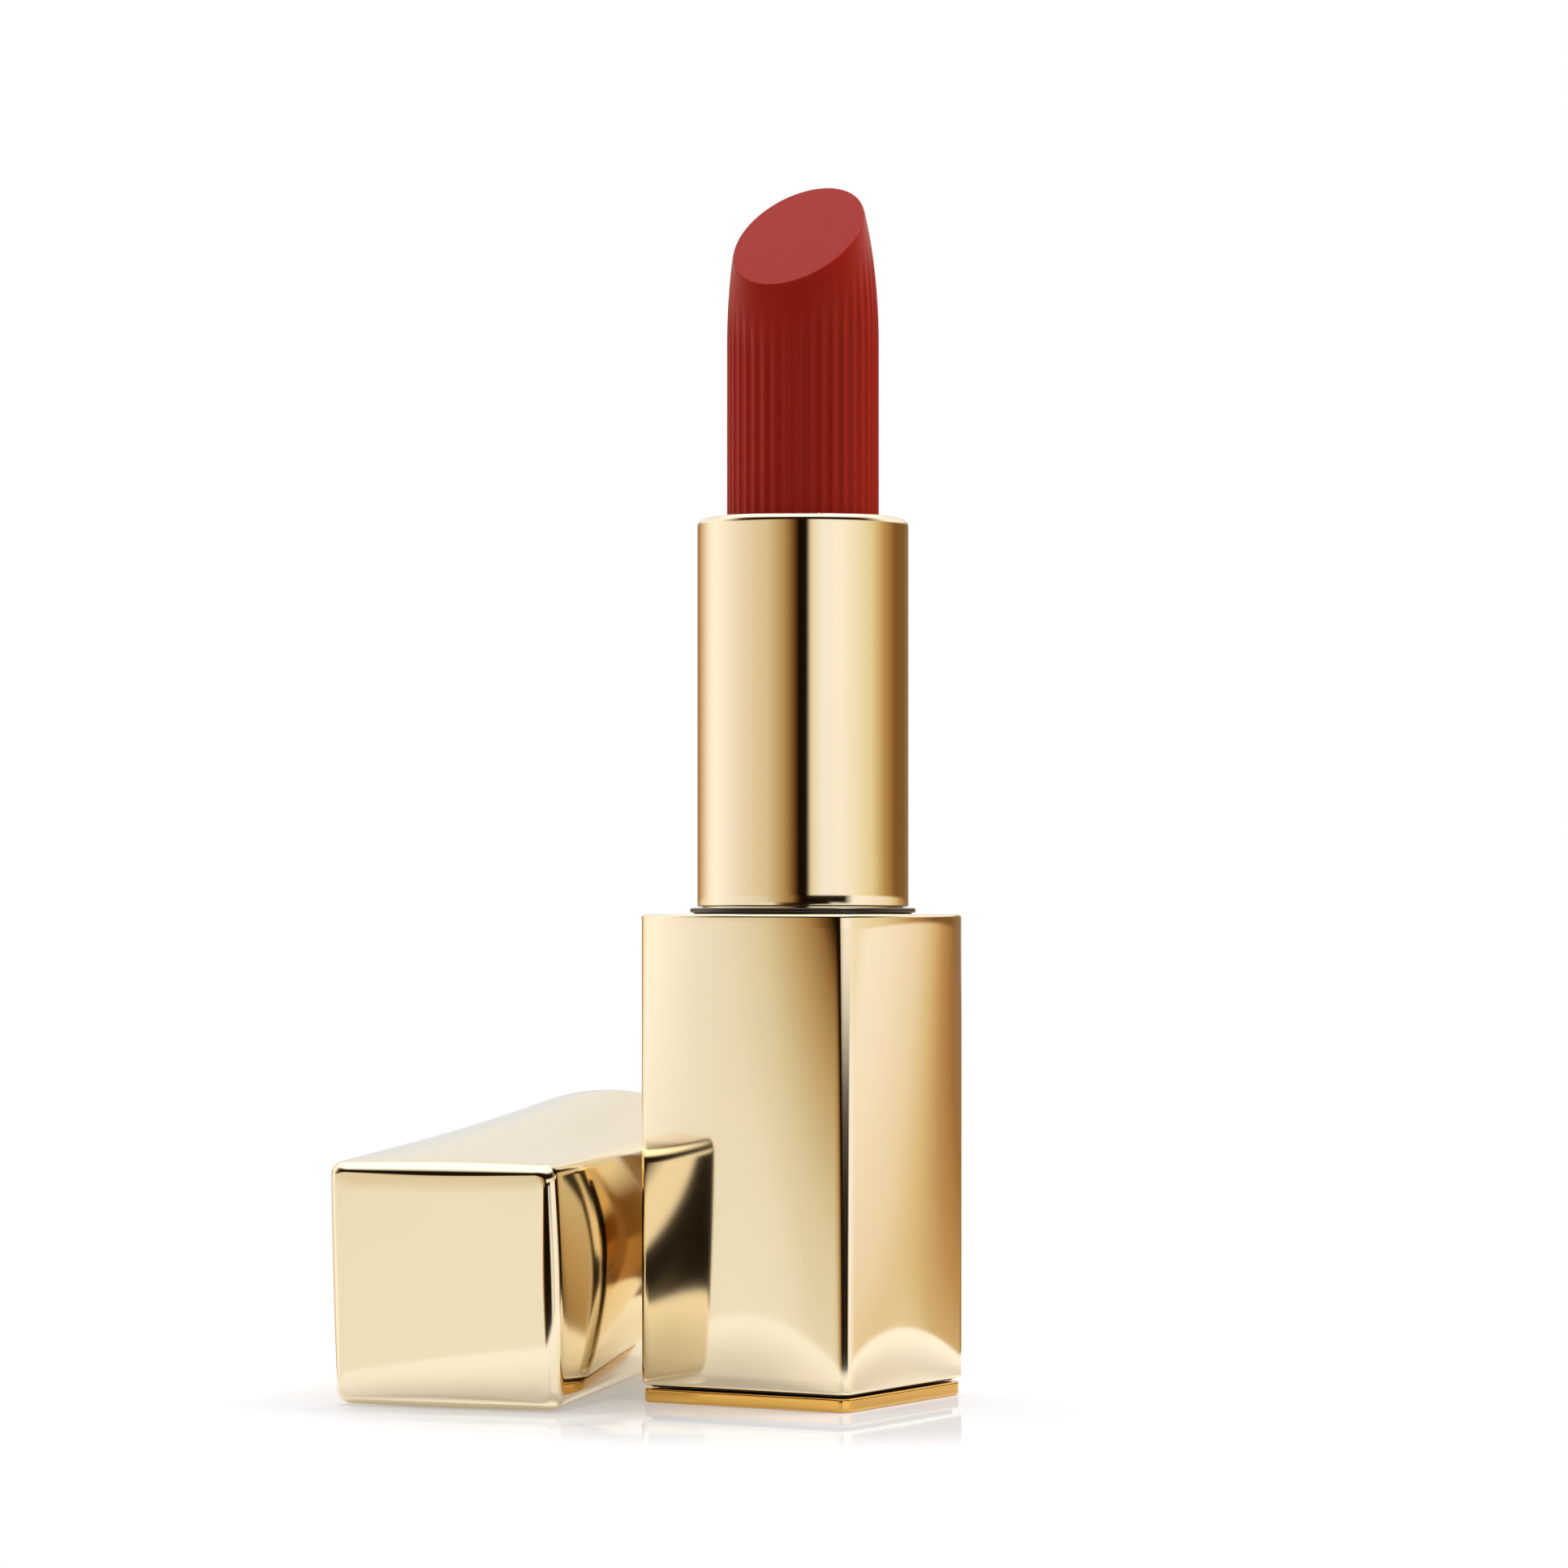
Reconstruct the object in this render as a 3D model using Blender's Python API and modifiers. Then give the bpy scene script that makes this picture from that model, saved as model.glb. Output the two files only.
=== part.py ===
"""Swivel lipstick case: square-to-round gold case, twist mechanism, bullet and a loose cap.

Units are metres, +Z up. The origin is the centre of the case's foot, on the table.
The case stands along Z with its flat sides square to X and Y, and the cap lies beside it.
"""
import math

import bmesh
import bpy
from mathutils import Matrix, Vector

MM = 0.001

# Driving dimensions
BULLET_RADIUS = 6.05 * MM
BULLET_SHOW = 27.0 * MM         # bullet above the tube's rim, fully wound up
SLANT = math.radians(41.6)      # slope of the bullet's slanted face
SLANT_DROP = 3.70 * MM          # tip to where the slanted face crosses the axis
PARK_DEPTH = 0.9 * MM           # bullet below the rim, fully wound down
TURNS = 1.25                    # turns of the tube for the whole travel
TUBE_SHOW = 31.4 * MM           # tube above the case's deck
BASE_TOP = 38.5 * MM            # height of the case's deck above the table
CASE_STEP = 1.18 * MM           # square end's half width over the tube's radius
FLARE = 2.3 * MM                # how much each side swells from the square end to the seam
CORNER_TIGHT = 1.0 * MM         # corner radius at the square closed end
CORNER_WIDE = 2.0 * MM          # corner radius at the seam
END_CROWN = 0.06 * MM           # how far the corners hold back from a true square
SHELL_WALL = 0.7 * MM
CAP_OVER = 4.6 * MM             # cap's length beyond the tube that it covers
CAP_ASIDE = -0.1 * MM           # from the case's square end sideways to the cap's
CAP_AHEAD = 13.3 * MM           # cap's closed end in front of the case's front face
RING_SEGMENTS = 48
SECTION_SEGMENTS = 64

# Clearances
SLIDE_GAP = 0.12 * MM           # round pieces that slide or turn on each other
SEAT_GAP = 0.10 * MM            # pieces that are fixed face to face
LUG_GAP = 0.16 * MM
RIM_GAP = 0.30 * MM             # tube's rim round the bullet
GRIP_GAP = 0.05 * MM            # cap's grip ribs round the tube
LINER_GAP = 0.13 * MM           # cap's liner round the tube, between the ribs
CUP_GAP = 0.08 * MM             # cup round the bullet

# Mechanism, from the bullet outwards
CUP_WALL = 0.34 * MM
BODY_WALL = 0.40 * MM
SPIRAL_WALL = 0.42 * MM
SKIRT_WALL = 0.38 * MM
INSERT_WALL = 0.36 * MM
LINER_WALL = 0.34 * MM
COLLAR_LIP = 0.56 * MM          # dark ring seen round the tube
TUBE_STEP = 0.41 * MM           # shoulder of the tube over its skirt
CUP_BORE = BULLET_RADIUS + CUP_GAP
CUP_RADIUS = CUP_BORE + CUP_WALL
BODY_BORE = CUP_RADIUS + SLIDE_GAP
BODY_RADIUS = BODY_BORE + BODY_WALL
SPIRAL_BORE = BODY_RADIUS + SLIDE_GAP
SPIRAL_RADIUS = SPIRAL_BORE + SPIRAL_WALL
TUBE_BORE = SPIRAL_RADIUS + SEAT_GAP
SKIRT_RADIUS = TUBE_BORE + SKIRT_WALL
TUBE_RADIUS = SKIRT_RADIUS + TUBE_STEP
INSERT_BORE = SKIRT_RADIUS + SLIDE_GAP
INSERT_RADIUS = INSERT_BORE + INSERT_WALL
RIM_BORE = BULLET_RADIUS + RIM_GAP
COLLAR_RADIUS = TUBE_RADIUS + COLLAR_LIP
LUG_RADIUS = 0.9 * MM

# Case and cap
FOOT_HALF = TUBE_RADIUS + CASE_STEP
SEAM_HALF = FOOT_HALF + FLARE
CORNER_REACH = (FOOT_HALF - CORNER_TIGHT) * math.sqrt(2.0) + CORNER_TIGHT - END_CROWN
CAP_LENGTH = TUBE_SHOW + CAP_OVER
CAP_YAW = math.radians(10.6)
CAP_END = Vector((-2.0 * FOOT_HALF - CAP_ASIDE, -FOOT_HALF - CAP_AHEAD, 0.0))
LINER_BORE = TUBE_RADIUS + LINER_GAP
LINER_RADIUS = LINER_BORE + LINER_WALL
GRIP_RIBS = 6

# Heights, from the deck upwards and then down through the mechanism
TUBE_TOP = BASE_TOP + TUBE_SHOW
BULLET_TOP = TUBE_TOP + BULLET_SHOW
TRAVEL = BULLET_SHOW + PARK_DEPTH
RIM_LIP = 0.75 * MM
BODY_TOP = TUBE_TOP - RIM_LIP - 0.55 * MM
LUG_HEIGHT = BODY_TOP - 12.6 * MM
FLOOR_DROP = 11.7 * MM          # insert's floor below the lugs' lowest place
COLLAR_TOP = BASE_TOP + 0.5 * MM
SHOULDER = COLLAR_TOP + SEAT_GAP

# Base
FOOT_HEIGHT = 1.1 * MM
FOOT_INSET = 0.28 * MM
SHELL_BOTTOM = FOOT_HEIGHT + 0.25 * MM
DECK = 0.8 * MM
PLUG_TOP = SHELL_BOTTOM + 2.25 * MM
INSERT_BASE = 1.2 * MM
INSERT_FLOOR = LUG_HEIGHT - TRAVEL - FLOOR_DROP

GOLD = (0.83, 0.64, 0.36, 1.0)
DARK = (0.035, 0.022, 0.018, 1.0)
CREAM = (0.80, 0.78, 0.73, 1.0)
STEEL = (0.42, 0.42, 0.43, 1.0)
RED = (0.46, 0.035, 0.045, 1.0)


def start_scene():
    """Clear the scene and return the collections for the parts and for the cutters."""
    for item in list(bpy.data.objects):
        bpy.data.objects.remove(item)
    parts = bpy.data.collections.new("lipstick_case")
    cutters = bpy.data.collections.new("cutters")
    for group in (parts, cutters):
        bpy.context.scene.collection.children.link(group)
    return parts, cutters


PARTS, CUTTERS = start_scene()


def material(name, colour, roughness, metallic):
    mat = bpy.data.materials.new(name)
    mat.use_nodes = True
    shader = mat.node_tree.nodes["Principled BSDF"]
    shader.inputs["Base Color"].default_value = colour
    shader.inputs["Roughness"].default_value = roughness
    shader.inputs["Metallic"].default_value = metallic
    return mat


def new_object(name, mesh, mat=None):
    """Link a mesh as a part, or as a hidden cutter when it has no material."""
    item = bpy.data.objects.new(name, mesh)
    if mat is None:
        CUTTERS.objects.link(item)
        item.hide_render = True
        item.display_type = "WIRE"
    else:
        PARTS.objects.link(item)
        mesh.materials.append(mat)
        mesh.shade_smooth()
        mesh.set_sharp_from_angle(angle=math.radians(35))
    return item


def mesh_from(bm, name):
    bmesh.ops.recalc_face_normals(bm, faces=bm.faces)
    mesh = bpy.data.meshes.new(name)
    bm.to_mesh(mesh)
    bm.free()
    return mesh


def case_half(share):
    """Half width across the sides: share 0 at the square closed end, 1 at the round seam."""
    return FOOT_HALF + (SEAM_HALF - FOOT_HALF) * share


def section(share, inset, segments=SECTION_SEGMENTS):
    """Four crowned faces and four corner arcs, tangent to each other, drawn in by inset.

    A face is an arc through (half, 0) centred on X; a corner arc is centred on the diagonal and
    passes through the corner. Tangency gives the face's radius and the bearing where they meet.
    """
    half = case_half(share)
    corner = CORNER_TIGHT + (CORNER_WIDE - CORNER_TIGHT) * max(share, 0.0) ** 1.5
    middle = (CORNER_REACH - corner) / math.sqrt(2.0)
    back = middle - half
    face = (corner ** 2 - middle ** 2 - back ** 2) / (2.0 * (back + corner))
    tangent = math.atan2(middle, back + face)
    meet = math.atan2(middle + corner * math.sin(tangent), middle + corner * math.cos(tangent))
    steps = segments // 16
    eighth = []
    for i in range(steps):
        bearing = meet * i / steps
        drop = (face - half) * math.sin(bearing)
        radius = (half - face) * math.cos(bearing) + math.sqrt(face ** 2 - drop ** 2)
        eighth.append((bearing, radius - inset))
    for i in range(steps):
        bearing = meet + (math.pi / 4 - meet) * i / steps
        off = bearing - math.pi / 4
        side = (CORNER_REACH - corner) * math.sin(off)
        radius = (CORNER_REACH - corner) * math.cos(off) + math.sqrt(corner ** 2 - side ** 2)
        eighth.append((bearing, radius - inset))
    mirrored = [(math.pi / 2 - bearing, radius) for bearing, radius in reversed(eighth[1:])]
    quarter = eighth + [(math.pi / 4, CORNER_REACH - inset)] + mirrored
    points = []
    for turn in range(4):
        for bearing, radius in quarter:
            angle = bearing + turn * math.pi / 2
            points.append((radius * math.cos(angle), radius * math.sin(angle)))
    return points


def loft(name, levels, mat=None):
    """Closed solid through square-to-round sections; each level is (z, share, inset)."""
    bm = bmesh.new()
    rings = []
    for z, share, inset in levels:
        rings.append([bm.verts.new((x, y, z)) for x, y in section(share, inset)])
    for low, high in zip(rings, rings[1:]):
        for i in range(len(low)):
            j = (i + 1) % len(low)
            bm.faces.new((low[i], low[j], high[j], high[i]))
    bm.faces.new(list(reversed(rings[0])))
    bm.faces.new(rings[-1])
    return new_object(name, mesh_from(bm, name), mat)


def turned(name, profile, mat=None, segments=RING_SEGMENTS):
    """Turn a profile of (radius, z) about Z, running down its outer side and back up."""
    mesh = bpy.data.meshes.new(name)
    verts = [(r, 0.0, z) for r, z in profile]
    on_axis = profile[0][0] == 0.0
    edges = [(i, i + 1) for i in range(len(verts) - 1)]
    if not on_axis:
        edges.append((len(verts) - 1, 0))
    mesh.from_pydata(verts, edges, [])
    item = new_object(name, mesh, mat)
    screw = item.modifiers.new("turn", "SCREW")
    screw.axis = "Z"
    screw.steps = segments
    screw.render_steps = segments
    screw.use_merge_vertices = True
    screw.merge_threshold = 1e-6
    screw.use_smooth_shade = True
    return item


def cylinder(name, radius, low, high, mat=None, segments=RING_SEGMENTS):
    bm = bmesh.new()
    place = Matrix.Translation((0.0, 0.0, (low + high) / 2.0))
    bmesh.ops.create_cone(bm, cap_ends=True, segments=segments, radius1=radius,
                          radius2=radius, depth=high - low, matrix=place)
    return new_object(name, mesh_from(bm, name), mat)


def box(name, size, centre, turn=0.0, mat=None):
    bm = bmesh.new()
    spin = Matrix.Rotation(turn, 4, "Z")
    stretch = Matrix.Diagonal((size[0], size[1], size[2], 1.0))
    bmesh.ops.create_cube(bm, size=1.0, matrix=spin @ Matrix.Translation(centre) @ stretch)
    return new_object(name, mesh_from(bm, name), mat)


def boolean(item, tool, operation="DIFFERENCE"):
    step = item.modifiers.new(operation.lower(), "BOOLEAN")
    step.operation = operation
    step.solver = "EXACT"
    step.object = tool


def shell_levels(low, high, low_share, high_share, inset, steps=8):
    """Levels of the case's outside, or of its inside when inset is the wall."""
    levels = []
    for i in range(steps + 1):
        part = i / steps
        levels.append((low + (high - low) * part, low_share + (high_share - low_share) * part, inset))
    return levels


# Base shell: open below for the plug, with a deck that the tube comes through
gold_shell = material("gold_shell", GOLD, 0.12, 1.0)
base_shell = loft("base_shell", shell_levels(SHELL_BOTTOM, BASE_TOP, 0.0, 1.0, 0.0), gold_shell)
room_share = 1.0 - DECK / (BASE_TOP - SHELL_BOTTOM)
room_levels = shell_levels(SHELL_BOTTOM, BASE_TOP - DECK, 0.0, room_share, SHELL_WALL)
room_levels[0] = (SHELL_BOTTOM - 1.0 * MM, 0.0, SHELL_WALL)
boolean(base_shell, loft("base_room", room_levels))
collar_neck = COLLAR_RADIUS - 0.32 * MM
boolean(base_shell, cylinder("deck_hole", collar_neck + SEAT_GAP, BASE_TOP - 3 * MM, BASE_TOP + MM))

# Foot: a solid gold plate with softened edges
soften = 0.15 * MM
foot_levels = [
    (0.0, 0.0, FOOT_INSET + soften),
    (soften, 0.0, FOOT_INSET),
    (FOOT_HEIGHT - soften, 0.0, FOOT_INSET),
    (FOOT_HEIGHT, 0.0, FOOT_INSET + soften),
]
loft("foot_plate", foot_levels, material("gold_foot", GOLD, 0.15, 1.0))

# Plug that closes the shell and holds the foot plate; its edge is the dark line above the foot
plug_inset = SHELL_WALL + SEAT_GAP
plug_levels = [(FOOT_HEIGHT + SEAT_GAP, 0.0, plug_inset), (PLUG_TOP, 0.0, plug_inset)]
loft("base_plug", plug_levels, material("plug_plastic", DARK, 0.5, 0.0))

# Steel weight that makes the base stand firmly, between the plug and the insert
weight_inset = plug_inset + 0.4 * MM
weight_top = INSERT_FLOOR - INSERT_BASE - SEAT_GAP
weight_levels = [(PLUG_TOP + SEAT_GAP, 0.0, weight_inset), (weight_top, 0.0, weight_inset)]
loft("base_weight", weight_levels, material("weight_steel", STEEL, 0.45, 1.0))

# Insert: the cup that carries the mechanism in the base
insert_bottom = INSERT_FLOOR - INSERT_BASE
insert_top = BASE_TOP - 2.6 * MM
turned("base_insert", [
    (0.0, INSERT_FLOOR),
    (INSERT_BORE, INSERT_FLOOR),
    (INSERT_BORE, insert_top),
    (INSERT_RADIUS, insert_top),
    (INSERT_RADIUS, insert_bottom),
    (0.0, insert_bottom),
], material("insert_plastic", CREAM, 0.5, 0.0))

# Collar: the dark bearing ring between the base and the tube
collar_under = BASE_TOP + SEAT_GAP
edge = 0.12 * MM
turned("collar", [
    (COLLAR_RADIUS - edge, COLLAR_TOP),
    (COLLAR_RADIUS, COLLAR_TOP - edge),
    (COLLAR_RADIUS, collar_under),
    (collar_neck, collar_under),
    (collar_neck, insert_top + SEAT_GAP),
    (INSERT_BORE, insert_top + SEAT_GAP),
    (INSERT_BORE, COLLAR_TOP),
], material("collar_plastic", DARK, 0.3, 0.0))

# Inner body: fixed in the base, with two straight slots for the lugs
body_flange_top = INSERT_FLOOR + SEAT_GAP + 1.0 * MM
inner_body = turned("inner_body", [
    (BODY_RADIUS, BODY_TOP),
    (BODY_RADIUS, body_flange_top),
    (SKIRT_RADIUS, body_flange_top),
    (SKIRT_RADIUS, INSERT_FLOOR + SEAT_GAP),
    (BODY_BORE, INSERT_FLOOR + SEAT_GAP),
    (BODY_BORE, BODY_TOP),
], material("body_plastic", CREAM, 0.45, 0.0))
slot_low = LUG_HEIGHT - TRAVEL - LUG_RADIUS - LUG_GAP
slot_high = LUG_HEIGHT + LUG_RADIUS + LUG_GAP
slot_size = (4 * BODY_RADIUS, 2 * (LUG_RADIUS + LUG_GAP), slot_high - slot_low)
boolean(inner_body, box("slots", slot_size, (0.0, 0.0, (slot_low + slot_high) / 2)))

# Friction ring under the spiral, which gives the twist its drag
ring_low = body_flange_top + SEAT_GAP
ring_high = ring_low + 1.0 * MM
turned("drag_ring", [
    (SPIRAL_RADIUS, ring_high),
    (SPIRAL_RADIUS, ring_low),
    (BODY_RADIUS + SEAT_GAP, ring_low),
    (BODY_RADIUS + SEAT_GAP, ring_high),
], material("ring_rubber", DARK, 0.7, 0.0))

# Pivot of the tube, on the case's axis
tube_pivot = bpy.data.objects.new("tube_pivot", None)
PARTS.objects.link(tube_pivot)

# Outer tube: a skirt in the base, a shoulder on the collar and an inward lip at the rim
skirt_bottom = ring_high + SLIDE_GAP
round_off = 0.5 * MM
outer_tube = turned("outer_tube", [
    (RIM_BORE, TUBE_TOP - 0.15 * MM),
    (RIM_BORE + 0.15 * MM, TUBE_TOP),
    (TUBE_RADIUS - round_off, TUBE_TOP),
    (TUBE_RADIUS - 0.15 * MM, TUBE_TOP - 0.15 * MM),
    (TUBE_RADIUS, TUBE_TOP - round_off),
    (TUBE_RADIUS, SHOULDER),
    (SKIRT_RADIUS, SHOULDER),
    (SKIRT_RADIUS, skirt_bottom),
    (TUBE_BORE, skirt_bottom),
    (TUBE_BORE, TUBE_TOP - RIM_LIP),
    (RIM_BORE, TUBE_TOP - RIM_LIP),
], material("gold_tube", GOLD, 0.12, 1.0), 64)
outer_tube.parent = tube_pivot

# Spiral sleeve: glued in the tube, with two helical grooves right through its wall
spiral = turned("spiral_sleeve", [
    (SPIRAL_RADIUS, BODY_TOP),
    (SPIRAL_RADIUS, skirt_bottom),
    (SPIRAL_BORE, skirt_bottom),
    (SPIRAL_BORE, BODY_TOP),
], material("spiral_plastic", CREAM, 0.4, 0.0))
spiral.parent = tube_pivot
lead = TRAVEL / TURNS
slope = math.atan(lead / (2 * math.pi * SPIRAL_BORE))
groove_half = (LUG_RADIUS + LUG_GAP) / math.cos(slope)
groove_extra = math.radians(10.0)
groove_turn = 2 * math.pi * TURNS + 2 * groove_extra


def groove_cutter(name, start):
    """A rectangle swept down a helix from the angle start, with its two ends closed."""
    top = LUG_HEIGHT + lead * groove_extra / (2 * math.pi)
    inner, outer = SPIRAL_BORE - 0.3 * MM, SPIRAL_RADIUS + 0.3 * MM
    count = 72
    bm = bmesh.new()
    rings = []
    for i in range(count + 1):
        turn = groove_turn * i / count
        angle = start - groove_extra + turn
        z = top - lead * turn / (2 * math.pi)
        corners = ((inner, -groove_half), (outer, -groove_half), (outer, groove_half), (inner, groove_half))
        rings.append([bm.verts.new((r * math.cos(angle), r * math.sin(angle), z + h)) for r, h in corners])
    for near, far in zip(rings, rings[1:]):
        for k in range(4):
            n = (k + 1) % 4
            bm.faces.new((near[k], near[n], far[n], far[k]))
    bm.faces.new(rings[0])
    bm.faces.new(rings[-1])
    return new_object(name, mesh_from(bm, name))


for index in range(2):
    boolean(spiral, groove_cutter("groove_%d" % index, math.pi * index))

# Bullet cup: slides in the inner body, its two lugs in the slots and the grooves
cup_low = LUG_HEIGHT - 2.0 * MM
cup_high = BODY_TOP - 0.3 * MM
cup_floor = cup_low + 1.0 * MM
cup = turned("bullet_cup", [
    (0.0, cup_floor),
    (CUP_BORE, cup_floor),
    (CUP_BORE, cup_high),
    (CUP_RADIUS, cup_high),
    (CUP_RADIUS, cup_low),
    (0.0, cup_low),
], material("cup_plastic", CREAM, 0.4, 0.0))
lug_reach = SPIRAL_RADIUS - 0.08 * MM
for index, side in enumerate((1, -1)):
    bm = bmesh.new()
    start = CUP_BORE + 0.15 * MM
    aim = Matrix.Translation((side * (start + lug_reach) / 2, 0.0, LUG_HEIGHT))
    bmesh.ops.create_cone(bm, cap_ends=True, segments=20, radius1=LUG_RADIUS, radius2=LUG_RADIUS,
                          depth=lug_reach - start, matrix=aim @ Matrix.Rotation(math.pi / 2, 4, "Y"))
    boolean(cup, new_object("lug_%d" % index, mesh_from(bm, "lug")), "UNION")

# Bullet: a plain stick with an elliptical tip, cut by the slanted face
tip_start = BULLET_TOP - 13.1 * MM
tip_height = 18.2 * MM
tip_steps = 10
tip = [(BULLET_RADIUS * math.sin(math.pi / 2 * i / tip_steps),
        tip_start + tip_height * math.cos(math.pi / 2 * i / tip_steps))
       for i in range(tip_steps + 1)]
bullet_low = cup_floor + SEAT_GAP
bullet = turned("bullet", tip + [(BULLET_RADIUS, bullet_low), (0.0, bullet_low)],
                material("bullet_wax", RED, 0.4, 0.0))
slant = Matrix.Rotation(SLANT, 4, Vector((0.993, 0.115, 0.0)))
lift = Matrix.Translation((0.0, 0.0, BULLET_TOP - SLANT_DROP))
bm = bmesh.new()
raise_up = Matrix.Translation((0.0, 0.0, 12 * MM))
bmesh.ops.create_cube(bm, size=24 * MM, matrix=lift @ slant @ raise_up)
boolean(bullet, new_object("slant_cut", mesh_from(bm, "slant_cut")))

# Cap: lies on one side, so its axis rises towards the wider open end
cap_tilt = math.atan((SEAM_HALF - FOOT_HALF) / CAP_LENGTH)
cap_pivot = bpy.data.objects.new("cap_pivot", None)
PARTS.objects.link(cap_pivot)
cap_pivot.matrix_world = (
    Matrix.Translation(CAP_END + Vector((0.0, 0.0, FOOT_HALF * math.cos(cap_tilt))))
    @ Matrix.Rotation(CAP_YAW, 4, "Z")
    @ Matrix.Rotation(cap_tilt - math.pi / 2, 4, "X")
)

end_round = 1.2 * MM
cap_levels = []
for step in range(5):
    angle = math.pi / 2 * step / 4
    drop = end_round * (1 - math.sin(angle))
    cap_levels.append((end_round * (1 - math.cos(angle)), 0.0, drop))
cap_levels += shell_levels(end_round, CAP_LENGTH, end_round / CAP_LENGTH, 1.0, 0.0)[1:]
cap_shell = loft("cap_shell", cap_levels, material("gold_cap", GOLD, 0.12, 1.0))
room_start = 0.8 * MM
cap_room = shell_levels(room_start, CAP_LENGTH, room_start / CAP_LENGTH, 1.0, SHELL_WALL)
cap_room.append((CAP_LENGTH + 1.0 * MM, 1.0, SHELL_WALL))
cap_cutter = loft("cap_room", cap_room)
boolean(cap_shell, cap_cutter)

# Steel weight in the cap's closed end
weight_end = room_start + SEAT_GAP + 0.8 * MM
cap_weight = loft("cap_weight", [
    (room_start + SEAT_GAP, 0.0, plug_inset),
    (weight_end, 0.0, plug_inset),
], material("cap_weight_steel", STEEL, 0.45, 1.0))

# Cap liner: a round cup that grips the tube, with a flange that fills the open end
liner_start = weight_end + SEAT_GAP
liner_end = CAP_LENGTH - 0.3 * MM
liner_floor = 0.5 * MM
flange_low = liner_end - 1.0 * MM
flange_share = flange_low / CAP_LENGTH
flange_levels = [(flange_low, flange_share, plug_inset), (liner_end, flange_share, plug_inset)]
cap_liner = cylinder("cap_liner", LINER_RADIUS, liner_start, liner_end,
                     material("liner_plastic", CREAM, 0.5, 0.0))
flange = loft("liner_flange", flange_levels)
boolean(cap_liner, flange, "UNION")
bore = cylinder("liner_bore", LINER_BORE, liner_start + liner_floor, liner_end + MM)
boolean(cap_liner, bore)
rib_inner = TUBE_RADIUS + GRIP_GAP
rib_outer = LINER_BORE + 0.15 * MM
rib_size = (rib_outer - rib_inner, 0.8 * MM, 12 * MM)
for index in range(GRIP_RIBS):
    centre = ((rib_inner + rib_outer) / 2, 0.0, liner_end - 8 * MM)
    rib = box("grip_rib_%d" % index, rib_size, centre, 2 * math.pi * (index + 0.25) / GRIP_RIBS)
    boolean(cap_liner, rib, "UNION")
    rib.parent = cap_pivot

for item in (cap_shell, cap_cutter, cap_weight, cap_liner, flange, bore):
    item.parent = cap_pivot
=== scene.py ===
"""Swivel lipstick case in its studio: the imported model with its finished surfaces.

Lengths are metres. Each section makes one real piece or one group of like pieces.
"""

import math

import bmesh
import bpy
import numpy as np
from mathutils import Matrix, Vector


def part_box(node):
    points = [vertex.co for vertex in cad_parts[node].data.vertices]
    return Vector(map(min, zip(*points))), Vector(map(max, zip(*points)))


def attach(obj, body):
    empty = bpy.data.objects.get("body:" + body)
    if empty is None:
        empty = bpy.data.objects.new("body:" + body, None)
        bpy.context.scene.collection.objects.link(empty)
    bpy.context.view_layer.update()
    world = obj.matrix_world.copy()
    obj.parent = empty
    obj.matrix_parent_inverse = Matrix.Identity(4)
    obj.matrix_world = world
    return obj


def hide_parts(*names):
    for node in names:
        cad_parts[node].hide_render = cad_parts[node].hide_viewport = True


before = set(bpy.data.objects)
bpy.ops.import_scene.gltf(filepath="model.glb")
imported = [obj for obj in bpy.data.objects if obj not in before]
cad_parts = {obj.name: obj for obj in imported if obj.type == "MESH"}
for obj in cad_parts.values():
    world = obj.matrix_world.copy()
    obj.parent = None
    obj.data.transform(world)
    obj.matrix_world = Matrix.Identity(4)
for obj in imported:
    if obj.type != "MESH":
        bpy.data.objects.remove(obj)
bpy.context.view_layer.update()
MM = 0.001
SHARP_EDGE = math.radians(40)   # edges that turn by more than this stay sharp


# ---------------------------------------------------------------- Camera
# A level camera at the height of the case's deck, turned a third of a right angle
# from the case's front, with a long lens so that the uprights stay upright.
deck_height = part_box("base_shell")[1][2]
view_turn = math.radians(30.6)
view_right = np.array([math.cos(view_turn), math.sin(view_turn), 0.0])
view_ahead = np.array([-math.sin(view_turn), math.cos(view_turn), 0.0])
camera_data = bpy.data.cameras.new("studio_camera")
camera_away = 407 * MM
camera_left = 1.5 * MM
camera_data.lens = 117.4
camera_data.sensor_width = 36.0
camera_data.shift_y = 0.083
camera = bpy.data.objects.new("studio_camera", camera_data)
bpy.context.scene.collection.objects.link(camera)
camera.location = -camera_away * view_ahead - camera_left * view_right + np.array([0, 0, deck_height])
camera.rotation_euler = (math.radians(90), 0.0, view_turn)
bpy.context.scene.camera = camera
bpy.context.scene.view_settings.view_transform = "Standard"


# ---------------------------------------------------------------- Light
# A tent of white panels round the object, with a warm dark gap at the lens, a dark hood
# over it, another gap behind on the right and a plain white ceiling. A soft strip hangs
# overhead, a little to the right.
def linear(hex_colour):
    """sRGB hex to linear light: the power curve above 0.04, a straight line below it."""
    raw = [int(hex_colour[i:i + 2], 16) / 255 for i in (1, 3, 5)]
    flat = [c / 12.92 if c <= 0.04045 else ((c + 0.055) / 1.055) ** 2.4 for c in raw]
    return (*flat, 1.0)


def add_node(tree, kind, settings=None, **links):
    """Add a node; settings go to its properties or sockets, links join sockets by name."""
    node = tree.nodes.new(kind)
    for key, value in (settings or {}).items():
        if hasattr(node, key):
            setattr(node, key, value)
        else:
            node.inputs[key].default_value = value
    for key, socket in links.items():
        tree.links.new(socket, node.inputs[int(key[1:])])
    return node


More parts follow.
